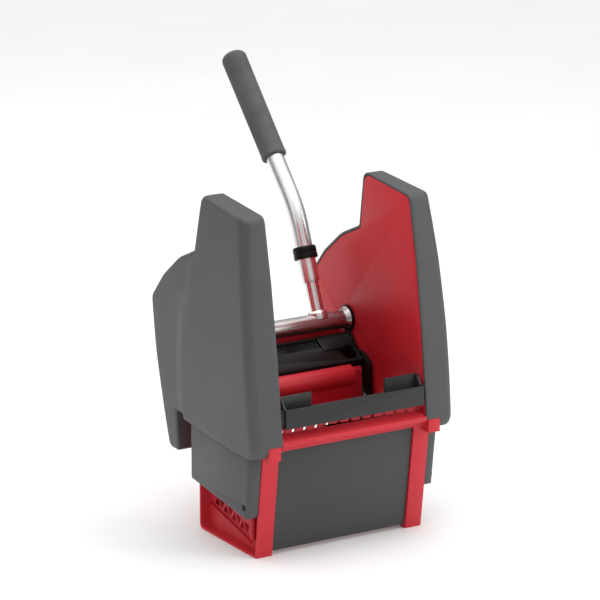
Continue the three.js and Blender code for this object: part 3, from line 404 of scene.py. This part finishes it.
def soft_rubber(name, colour, roughness=0.8):
    """Grip rubber: pebbled skin with rubbed patches."""
    kit = Nodes(name)
    pebbles = kit.noise(900.0, 2.0)
    rubbed = kit.ramp(kit.noise(16.0, 5.0, 0.65), 0.4, 0.66)
    base = kit.mix(rubbed, shade(colour, 0.85), shade(colour, 1.12))
    kit.link(base, kit.shader.inputs["Base Color"])
    kit.link(kit.ramp(rubbed, 0.0, 1.0, roughness, roughness - 0.16), kit.shader.inputs["Roughness"])
    fine = kit.bump(pebbles, 0.7, 0.00012)
    kit.link(kit.bump(kit.noise(45.0, 3.0), 0.3, 0.0005, under=fine), kit.shader.inputs["Normal"])
    return kit.material


RED = moulded_plastic(
    "red moulded plastic", (0.58, 0.02, 0.033), 0.48, grain=1100.0, depth=0.00003, worn=1.2, gloss=0.4,
)
GREY = moulded_plastic("grey moulded plastic", (0.07, 0.0725, 0.077), 0.48, worn=1.25, gloss=0.4)
PANEL = moulded_plastic("dark grey panel", (0.05, 0.052, 0.055), 0.52, grain=1700.0, worn=1.2, gloss=0.4)
CHARCOAL = moulded_plastic("charcoal bar plastic", (0.018, 0.0185, 0.019), 0.45, worn=1.4, gloss=0.4)
BLACK = moulded_plastic("black plastic", (0.005, 0.005, 0.0053), 0.38, depth=0.00006, worn=2.0, gloss=0.2)
BLACK_RUBBER = soft_rubber("black rubber", (0.018, 0.018, 0.018))
GRIP = soft_rubber("grey grip rubber", (0.078, 0.08, 0.081))
LEVER_STEEL = bright_steel("bright lever steel", (0.86, 0.85, 0.84), 0.24, stretch=(2.5, 0.12, 0.12))
SHAFT_STEEL = bright_steel("bright shaft steel", (0.5, 0.475, 0.475), 0.24, stretch=(0.06, 2, 2))
ZINC = bright_steel("zinc-plated steel", (0.5, 0.5, 0.49), 0.36, wear=0.7)

# ---- Camera, light and floor ------------------------------------------------------------------
CAMERA_AZIMUTH, CAMERA_ELEVATION = math.radians(-31.49), math.radians(15.38)
CAMERA_DISTANCE, FOCAL_LENGTH = 4.522, 204.0
camera_data = bpy.data.cameras.new("camera")
camera_data.lens = FOCAL_LENGTH
camera = bpy.data.objects.new("camera", camera_data)
bpy.context.scene.collection.objects.link(camera)
target = place(-12.4, 7.6, 318.4)
to_camera = Vector((
    math.sin(CAMERA_AZIMUTH) * math.cos(CAMERA_ELEVATION),
    -math.cos(CAMERA_AZIMUTH) * math.cos(CAMERA_ELEVATION),
    math.sin(CAMERA_ELEVATION),
))
camera.location = target + to_camera * CAMERA_DISTANCE
camera.rotation_euler = to_camera.to_track_quat("Z", "Y").to_euler()
bpy.context.scene.camera = camera
bpy.context.scene.view_settings.view_transform = "Standard"


def make_light(name, spot, size, power, aim=(0, 0, 0.25), colour=(1, 1, 1)):
    data = bpy.data.lights.new(name, "AREA")
    data.shape = "RECTANGLE"
    data.size, data.size_y = size
    data.energy = power
    data.color = colour
    lamp = bpy.data.objects.new(name, data)
    lamp.location = spot
    lamp.rotation_euler = (Vector(spot) - Vector(aim)).to_track_quat("Z", "Y").to_euler()
    bpy.context.scene.collection.objects.link(lamp)


make_light("top softbox", (0.2, -0.3, 2.4), (1.8, 1.8), 19)
make_light("front right softbox", (1.9, -2.2, 1.2), (1.2, 1.6), 22)
make_light("left softbox", (-2.6, -0.6, 1.3), (1.0, 1.6), 3)
make_light("back softbox", (-0.6, 2.4, 1.5), (1.6, 1.2), 8)

SKY_LOW, SKY_MIDDLE, SKY_STRENGTH = 0.12, 0.3, 1.2
world = bpy.data.worlds.new("studio")
world.use_nodes = True
sky = world.node_tree
background = sky.nodes["Background"]
direction = sky.nodes.new("ShaderNodeTexCoord")
parts = sky.nodes.new("ShaderNodeSeparateXYZ")
shades = sky.nodes.new("ShaderNodeValToRGB")
sky.links.new(direction.outputs["Generated"], parts.inputs[0])
sky.links.new(parts.outputs["Z"], shades.inputs["Fac"])
stops = shades.color_ramp.elements
stops[0].position, stops[0].color = 0.0, (SKY_LOW, SKY_LOW, SKY_LOW, 1)
stops[1].position, stops[1].color = 0.75, (1, 1, 1, 1)
middle_stop = stops.new(0.28)
middle_stop.color = (SKY_MIDDLE, SKY_MIDDLE, SKY_MIDDLE, 1)
sky.links.new(shades.outputs["Color"], background.inputs["Color"])
background.inputs["Strength"].default_value = SKY_STRENGTH
bpy.context.scene.world = world


def make_floor():
    """A plain pale flat sheet under the object."""
    bm = bmesh.new()
    half, steps = 6.0, 24
    bm_rows = []
    for i in range(steps + 1):
        y = -half + 2 * half * i / steps
        bm_rows.append([bm.verts.new((x, y, 0.0)) for x in (-half, 0.0, half)])
    for low, high in zip(bm_rows, bm_rows[1:]):
        for i in range(2):
            bm.faces.new((low[i], low[i + 1], high[i + 1], high[i]))
    floor = finish_mesh(bm, "studio_floor")
    kit = Nodes("pale floor")
    clouds = kit.ramp(kit.noise(3.0), 0.3, 0.7)
    kit.link(kit.mix(clouds, (0.9, 0.9, 0.9), (0.93, 0.93, 0.93)), kit.shader.inputs["Base Color"])
    kit.shader.inputs["Roughness"].default_value = 0.9
    floor.data.materials.append(kit.material)


make_floor()

# ---- Side covers ------------------------------------------------------------------------------
COVER_CORNERS = [
    (-115.8, 145, 20), (-99, 285, 200), (-85, 375, 100), (-67.5, 461, 12), (47, 472, 12), (57.5, 394, 5),
    (103, 374, 80), (146, 341, 80), (178, 305, 13), (165, 231, 90), (152, 176, 90), (137, 101, 10),
    (110, 101, 5), (110, 160, 3), (88, 160, 3), (88, 150, 2), (60, 148, 30), (-60, 143.5, 30),
]
FRONT_EDGES, TOP_EDGE, LOW_EDGES = (0, 1, 2), 3, (15, 16, 17)
FRONT_ROUND, TOP_ROUND, LOW_ROUND, EDGE_ROUND = 14.0, 6.0, 9.0, 4.0
CREASE_DEPTH, CREASE_WIDTH, CREASE_TOP = 1.4, 3.0, 396.0
COVER_WALL = 3.0
HOLLOW_START = PLATE_OUT - 5  # the hollow opens towards the side plate
NOTCH_OUT, NOTCH_TOP = 133.5, 163.3  # room for the corner block
SLICE_LOW, SLICE_STEP, SLICE_COUNT = 104, 12, 26  # edge loops up the cover


def cover_out(y, z):
    """Outer face of a cover: fullest in the middle of its height, drawn in towards the back."""
    above = max(0.0, z - COVER_FULLEST_Z) / (COVER_TOP - COVER_FULLEST_Z)
    below = max(0.0, COVER_FULLEST_Z - z) / 80
    return COVER_WIDEST - 12 * above ** 2 - 2 * below ** 2 - PLAN_TAPER * (y + 100)


def crease_y(z):
    """The line behind which the outer face steps in."""
    return 98.5 - 9.3e-4 * (z - 185) ** 2


def cover_inset(edge, x):
    """How far an edge of the cover's outline is drawn in at a distance x from the middle plane."""
    radius = EDGE_ROUND
    if edge in FRONT_EDGES:
        radius = FRONT_ROUND
    elif edge == TOP_EDGE:
        radius = TOP_ROUND
    elif edge in LOW_EDGES:
        radius = LOW_ROUND
    over = max(0.0, x - (COVER_OUT - radius))
    return radius - math.sqrt(max(0.0, radius ** 2 - over ** 2))


def sliced(bm, axis, start, end, step):
    """Adds edge loops across the mesh, so that its flat faces can be bent."""
    normal = Vector((0, 1, 0)) if axis == 1 else Vector((0, 0, 1))
    spot = start
    while spot < end:
        origin = place(0, spot, 0) if axis == 1 else place(0, 0, spot)
        bmesh.ops.bisect_plane(
            bm, geom=bm.verts[:] + bm.edges[:] + bm.faces[:], plane_co=origin, plane_no=normal, dist=1e-6,
        )
        spot += step


def crease_cut(bm, low, high, side):
    """Cuts the outer face along one side of the crease, between two heights."""
    start, end = place(0, crease_y(low) + side, low), place(0, crease_y(high) + side, high)
    way = end - start
    geom = []
    for face in bm.faces:
        middle = face.calc_center_median()
        outer = all(v.co.x > (COVER_OUT - 0.05) / 1000 for v in face.verts)
        if low / 1000 < middle.z < high / 1000 and outer:
            geom.append(face)
    around = {e for face in geom for e in face.edges} | {v for face in geom for v in face.verts}
    bmesh.ops.bisect_plane(
        bm, geom=geom + list(around), plane_co=start, plane_no=Vector((0, way.z, -way.y)), dist=1e-6,
    )


def make_cover(name):
    base = PLATE_OUT + GAP
    turns = 12
    rise = [math.sin(math.pi / 2 * i / turns) for i in range(turns + 1)]
    heights = [base] + [COVER_OUT - FRONT_ROUND + FRONT_ROUND * part for part in rise]
    rings = [
        (x, outline(COVER_CORNERS, [cover_inset(edge, x) for edge in range(len(COVER_CORNERS))]))
        for x in heights
    ]
    shell = finish_mesh(loft(rings)[0], name)
    hollow_corners = [
        (-106, 115, 0), (-106, 157, 0), (-95.7, 285, 200), (-81.7, 375, 100), (-64.2, 458, 9), (43.8, 469, 9),
        (54.3, 391, 8), (100, 371, 77), (143, 338, 77), (174.5, 303, 10), (161.7, 231, 87), (150.5, 182, 20),
        (146, 166, 9), (85, 166, 0), (85, 115, 0),
    ]
    hollow_rings = [
        (x, outline(hollow_corners, inset))
        for x, inset in (
            (HOLLOW_START, 0.0), (130.0, 0.0), (133.0, 1.0), (135.5, 3.2), (COVER_OUT - COVER_WALL, 6.5),
        )
    ]
    shell = boolean(shell, [finish_mesh(loft(hollow_rings)[0], "hollow")])
    bm = bmesh.new()
    bm.from_mesh(shell.data)
    bpy.data.objects.remove(shell)
    sliced(bm, 2, SLICE_LOW, 470, SLICE_STEP)
    sliced(bm, 1, -110, 176, 24)
    for i in range(SLICE_COUNT):
        low = SLICE_LOW + SLICE_STEP * i
        for side in (-CREASE_WIDTH / 2, CREASE_WIDTH / 2):
            if 140 < low < 400:
                crease_cut(bm, low, low + SLICE_STEP, side)
    for vert in bm.verts:
        y, z = vert.co.y * 1000 - SHIFT_Y, vert.co.z * 1000
        x = vert.co.x * 1000
        share = max(0.0, min(1.0, (x - PLATE_OUT) / 9))
        behind = max(0.0, min(1.0, (y - crease_y(z)) / CREASE_WIDTH + 0.5)) if z < CREASE_TOP else 0.0
        drop = CREASE_DEPTH * behind * max(0.0, 1 - (COVER_OUT - x) / 6)
        vert.co.x = (x + share * (cover_out(y, z) - COVER_OUT) - drop) / 1000
    notch = box_piece(HOLLOW_START, NOTCH_OUT, -130, -60, 115, NOTCH_TOP)
    body = boolean(finish_mesh(bm, name), [notch])
    return boolean(body, [make_cover_rim()], "UNION")


def make_cover_rim():
    """The part of a cover's edge that wraps round the side plate."""
    ring = loft([
        (PLATE_IN, outline(COVER_CORNERS, 0.7)), (PLATE_IN + 0.2, outline(COVER_CORNERS, 0.25)),
        (PLATE_IN + 0.7, outline(COVER_CORNERS, 0.02)), (PLATE_OUT + 1.5, outline(COVER_CORNERS, 0.02)),
    ])[0]
    piece = finish_mesh(ring, "rim")
    width = 2.7
    opening_corners = [
        (-113 + width, 100, 0), (-113 + width, 163, 0), (-99 + width, 285, 200), (-85 + width, 375, 100),
        (-67.5 + width, 461 - width, 11), (47 - width, 472 - width, 11), (57.5 - width, 394 - width, 6),
        (103 - width, 374 - width, 78), (146 - width, 341 - width, 78), (178 - width, 305 - width, 12),
        (165 - width, 231, 88), (149.3, 162, 0), (0, 100, 0),
    ]
    opening_ring = outline(opening_corners, 0)
    opening = loft([(PLATE_IN - 1, opening_ring), (PLATE_OUT + 2.5, opening_ring)])[0]
    return boolean(piece, [
        finish_mesh(opening, "opening"), box_piece(PLATE_IN - 1, 119, -200, 0, 50, NOTCH_TOP),
        box_piece(PLATE_IN - 1, 119, 0, 200, 50, 172),
    ])


cover = make_cover("cover_right_shell")
show(mirrored(cover, "cover_left_shell"), "cover_left", GREY)
show(cover, "cover_right", GREY)

# ---- Lever ------------------------------------------------------------------------------------
LEVER_FOOT = Vector((LEVER_X, SHAFT_Y, SHAFT_Z))
LOWER_WAY = Vector((0, math.sin(LOWER_ANGLE), math.cos(LOWER_ANGLE)))
UPPER_WAY = Vector((0, math.sin(UPPER_ANGLE), math.cos(UPPER_ANGLE)))
BEND_POINT = LEVER_FOOT + LOWER_WAY * LOWER_LENGTH
BEND_REACH = BEND_RADIUS * math.tan((UPPER_ANGLE - LOWER_ANGLE) / 2)
BEND_START = LOWER_LENGTH - BEND_REACH
BEND_LENGTH = BEND_RADIUS * (UPPER_ANGLE - LOWER_ANGLE)


def lever_path(height):
    """The middle of the lever at a distance from the shaft's axis, and its direction there."""
    if height <= BEND_START:
        return LEVER_FOOT + LOWER_WAY * height, LOWER_WAY
    past = height - BEND_START
    if past >= BEND_LENGTH:
        return BEND_POINT + UPPER_WAY * (BEND_REACH + past - BEND_LENGTH), UPPER_WAY
    turn = past / BEND_RADIUS
    side = Vector((0, LOWER_WAY.z, -LOWER_WAY.y))
    middle = BEND_POINT + LOWER_WAY * (BEND_RADIUS * math.sin(turn) - BEND_REACH)
    middle += side * (BEND_RADIUS * (1 - math.cos(turn)))
    way = LOWER_WAY * math.cos(turn) + side * math.sin(turn)
    return middle, way.normalized()


LEVER_LENGTH = BEND_START + BEND_LENGTH + UPPER_LENGTH - BEND_REACH


def stretched(profile, low, high, step):
    """Adds rings wherever neighbouring points of a profile lie far apart in height, so that a bent piece
    follows its path; low and high are not used.
    """
    result = []
    for (r0, h0), (r1, h1) in zip(profile, profile[1:] + profile[:1]):
        result.append((r0, h0))
        if abs(h1 - h0) > step:
            count = int(abs(h1 - h0) / step)
            result += [(r0 + (r1 - r0) * i / count, h0 + (h1 - h0) * i / count) for i in range(1, count)]
    return result


def make_handle_tube():
    end = LEVER_LENGTH - 12
    bore = STUB_RADIUS + 0.4
    corners = [(bore, SLEEVE_START), (TUBE_RADIUS, SLEEVE_START), (TUBE_RADIUS, end), (bore, end)]
    profile = rounded_profile(corners, 0.5)
    profile = stretched([tuple(point) for point in profile], SLEEVE_START, end, 4.0)
    return turned(profile, lever_path, "handle_tube_fine")


def make_grip():
    """Rubber sleeve with a rolled lip, a rounded end and a faint waist."""
    low, high = LEVER_LENGTH - GRIP_LENGTH, LEVER_LENGTH
    bore = TUBE_RADIUS + GAP
    profile = [
        (bore, low + 1.5), (bore + 1.2, low + 0.2), (GRIP_RADIUS - 1.6, low),
        (GRIP_RADIUS - 0.3, low + 1.2), (GRIP_RADIUS, low + 3.5), (GRIP_RADIUS - 0.1, low + 5.5),
        (GRIP_RADIUS - 0.5, low + 7),
    ]
    rows = 40
    for i in range(rows + 1):
        part = i / rows
        profile.append((GRIP_RADIUS - 0.5 + 0.45 * part ** 2, low + 8 + (high - low - 18) * part))
    for i in range(1, 11):
        turn = math.pi / 2 * i / 10
        radius = (GRIP_RADIUS - 0.05) * max(0.0, math.cos(turn)) ** 0.62
        profile.append((radius, high - 10 + 10 * math.sin(turn)))
    profile[-1] = (0.0, high)
    profile += [(0.0, high - 8), (bore - 0.5, high - 8), (bore, high - 8.5)]
    return turned(profile, lever_path, "handle_grip_fine")


def make_collar():
    """Black clamp ring with a wider foot, a parting groove and a lip."""
    bore = TUBE_RADIUS + GAP
    low, high = COLLAR_START, COLLAR_START + COLLAR_LENGTH
    points = [
        (bore, low), (COLLAR_RADIUS - 0.6, low), (COLLAR_RADIUS, low + 1.6), (COLLAR_RADIUS, low + 6.2),
        (COLLAR_RADIUS - 0.9, low + 7.0), (COLLAR_RADIUS - 0.9, low + 7.8), (COLLAR_RADIUS - 0.2, low + 8.4),
        (COLLAR_RADIUS - 0.4, high - 2.5), (COLLAR_RADIUS - 1.2, high), (bore, high),
    ]
    return turned(rounded_profile(points, 0.5), lever_path, "handle_collar_fine")


show(make_handle_tube(), "handle_tube", LEVER_STEEL)
show(make_grip(), "handle_grip", GRIP)
show(make_collar(), "handle_collar", BLACK)



def turned_across(profile, y, z, name, side=1):
    """A round piece about a line that runs across the part; profile gives radius and distance."""
    return turned(profile, lambda x: (Vector((side * x, y, z)), Vector((side, 0, 0))), name)


def lever_foot_piece(points, radius, name):
    """A round piece about the lever's foot, shaped to fit round the cross tube."""
    piece = turned(rounded_profile(points, radius), lever_path, name)
    fit = [(0, -SHAFT_HALF), (FIT_RADIUS, -SHAFT_HALF), (FIT_RADIUS, SHAFT_HALF), (0, SHAFT_HALF)]
    return boolean(piece, [turned_across(fit, SHAFT_Y, SHAFT_Z, "fit")])


tube_profile = [
    (BORE, -SHAFT_HALF), (TUBE_RADIUS - 0.4, -SHAFT_HALF), (TUBE_RADIUS, -SHAFT_HALF + 0.4),
    (TUBE_RADIUS, SHAFT_HALF - 0.4), (TUBE_RADIUS - 0.4, SHAFT_HALF), (BORE, SHAFT_HALF),
]
cross_tube = turned_across(tube_profile, SHAFT_Y, SHAFT_Z, "cross_tube_fine")
show(cross_tube, "cross_tube", SHAFT_STEEL)
show(refined("jaw_shaft", 0.3), "jaw_shaft", SHAFT_STEEL)
for side, name in ((1, "right"), (-1, "left")):
    end = PLATE_IN - 2.5 - GAP
    flange_points = [
        (FIT_RADIUS, end - 8), (FIT_RADIUS + 1, end - 8), (FIT_RADIUS + 1.7, end - 5),
        (FIT_RADIUS + 4, end - 1.5), (FIT_RADIUS + 4, end), (FIT_RADIUS, end),
    ]
    flange = turned_across(rounded_profile(flange_points, 0.6), SHAFT_Y, SHAFT_Z, "flange_fine_" + name, side)
    show(flange, "shaft_flange_" + name, SHAFT_STEEL)
bead_points = [
    (STUB_RADIUS + GAP, 3), (STUB_RADIUS + GAP + 4.4, 3), (STUB_RADIUS + GAP + 4.2, 12.5),
    (STUB_RADIUS + GAP + 2.6, 15.4), (STUB_RADIUS + GAP, 16.5),
]
show(lever_foot_piece(bead_points, 1.4, "weld_bead_fine"), "weld_bead", LEVER_STEEL)

# ---- Pieces refined from their CAD shape ------------------------------------------------------
REFINED = {
    "side_plate_left": (RED, "red_plastic", 0.5),
    "side_plate_right": (RED, "red_plastic", 0.5),
    "front_frame": (RED, "red_plastic", 0.6), "rear_wall": (RED, "red_plastic", 0.5),
    "jaw_pad": (RED, "red_plastic", 0.8), "front_apron": (PANEL, "panel_grey", 0.8),
    "skirt_left": (GREY, "cover_grey", 0.5), "skirt_right": (GREY, "cover_grey", 0.5),
    "front_bar": (CHARCOAL, "bar_grey", 0.5), "jaw_carrier": (BLACK, "black_plastic", 0.5),
}
for node, (material, slot, width) in REFINED.items():
    show(refined(node, width), node, material)

# ---- Nodes that keep their CAD shape ----------------------------------------------------------
KEPT = {
    "front_sieve": RED, "sieve_floor": RED, "shaft_bush": BLACK, "jaw_bush": BLACK,
    "jaw_buffer": BLACK_RUBBER, "lever_stub": LEVER_STEEL,
}
REPLACED = {
    "cover_left", "cover_right", "handle_tube", "handle_grip", "handle_collar", "cross_tube", "jaw_shaft",
    "shaft_flange_left", "shaft_flange_right", "weld_bead",
}


def dress(node):
    """Gives a carried-over CAD node its material."""
    name = next((key for key in KEPT if node.startswith(key)), None)
    mesh = frame["nodes"][node].data
    mesh.materials.clear()
    mesh.materials.append(KEPT[name] if name else ZINC)


for node in sorted(frame["nodes"]):
    if node not in REPLACED and node not in REFINED:
        dress(node)
